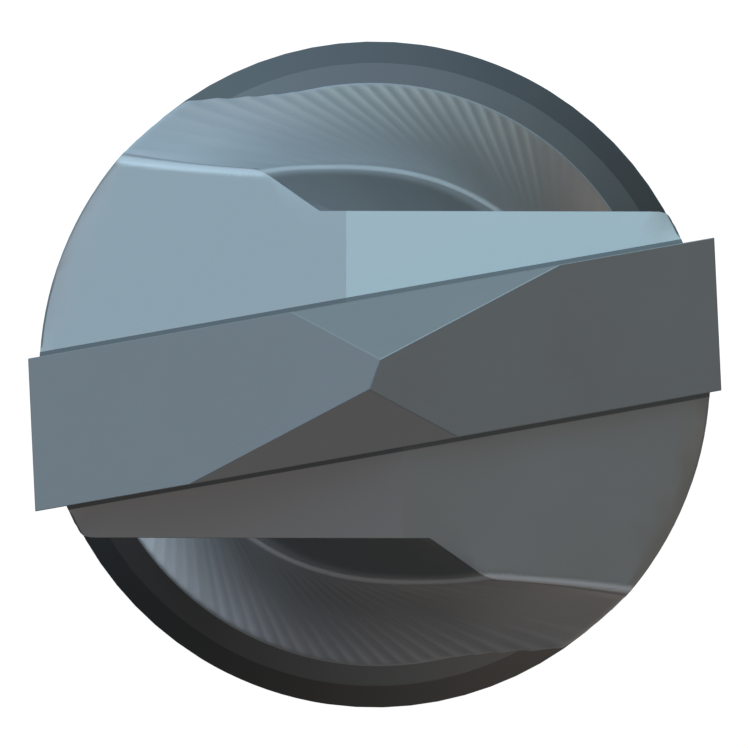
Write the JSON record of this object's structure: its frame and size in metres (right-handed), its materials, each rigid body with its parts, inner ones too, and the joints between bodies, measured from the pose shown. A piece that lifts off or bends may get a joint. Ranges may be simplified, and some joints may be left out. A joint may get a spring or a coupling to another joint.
{
  "type": "masonry drill bit",
  "caption": "Masonry drill bit: slotted hammer shank, right-hand helical flutes and a pointed carbide plate brazed across a wider steel head.",
  "frame": {"origin": "middle of the flat rear face of the shank, on which the bit stands", "axes": "+Z along the bit's axis from the rear face to the tip, +X along the carbide plate"},
  "size_m": [0.01, 0.01, 0.11],
  "materials": {
    "steel": "fine ground and shot-blasted grey steel",
    "carbide": "ground tungsten carbide, dark satin grey",
    "braze": "thin dull braze line"
  },
  "bodies": {
    "root": {"steel_body": "steel", "carbide_tip": "carbide", "braze_joint": "braze"}
  },
  "joints": []
}
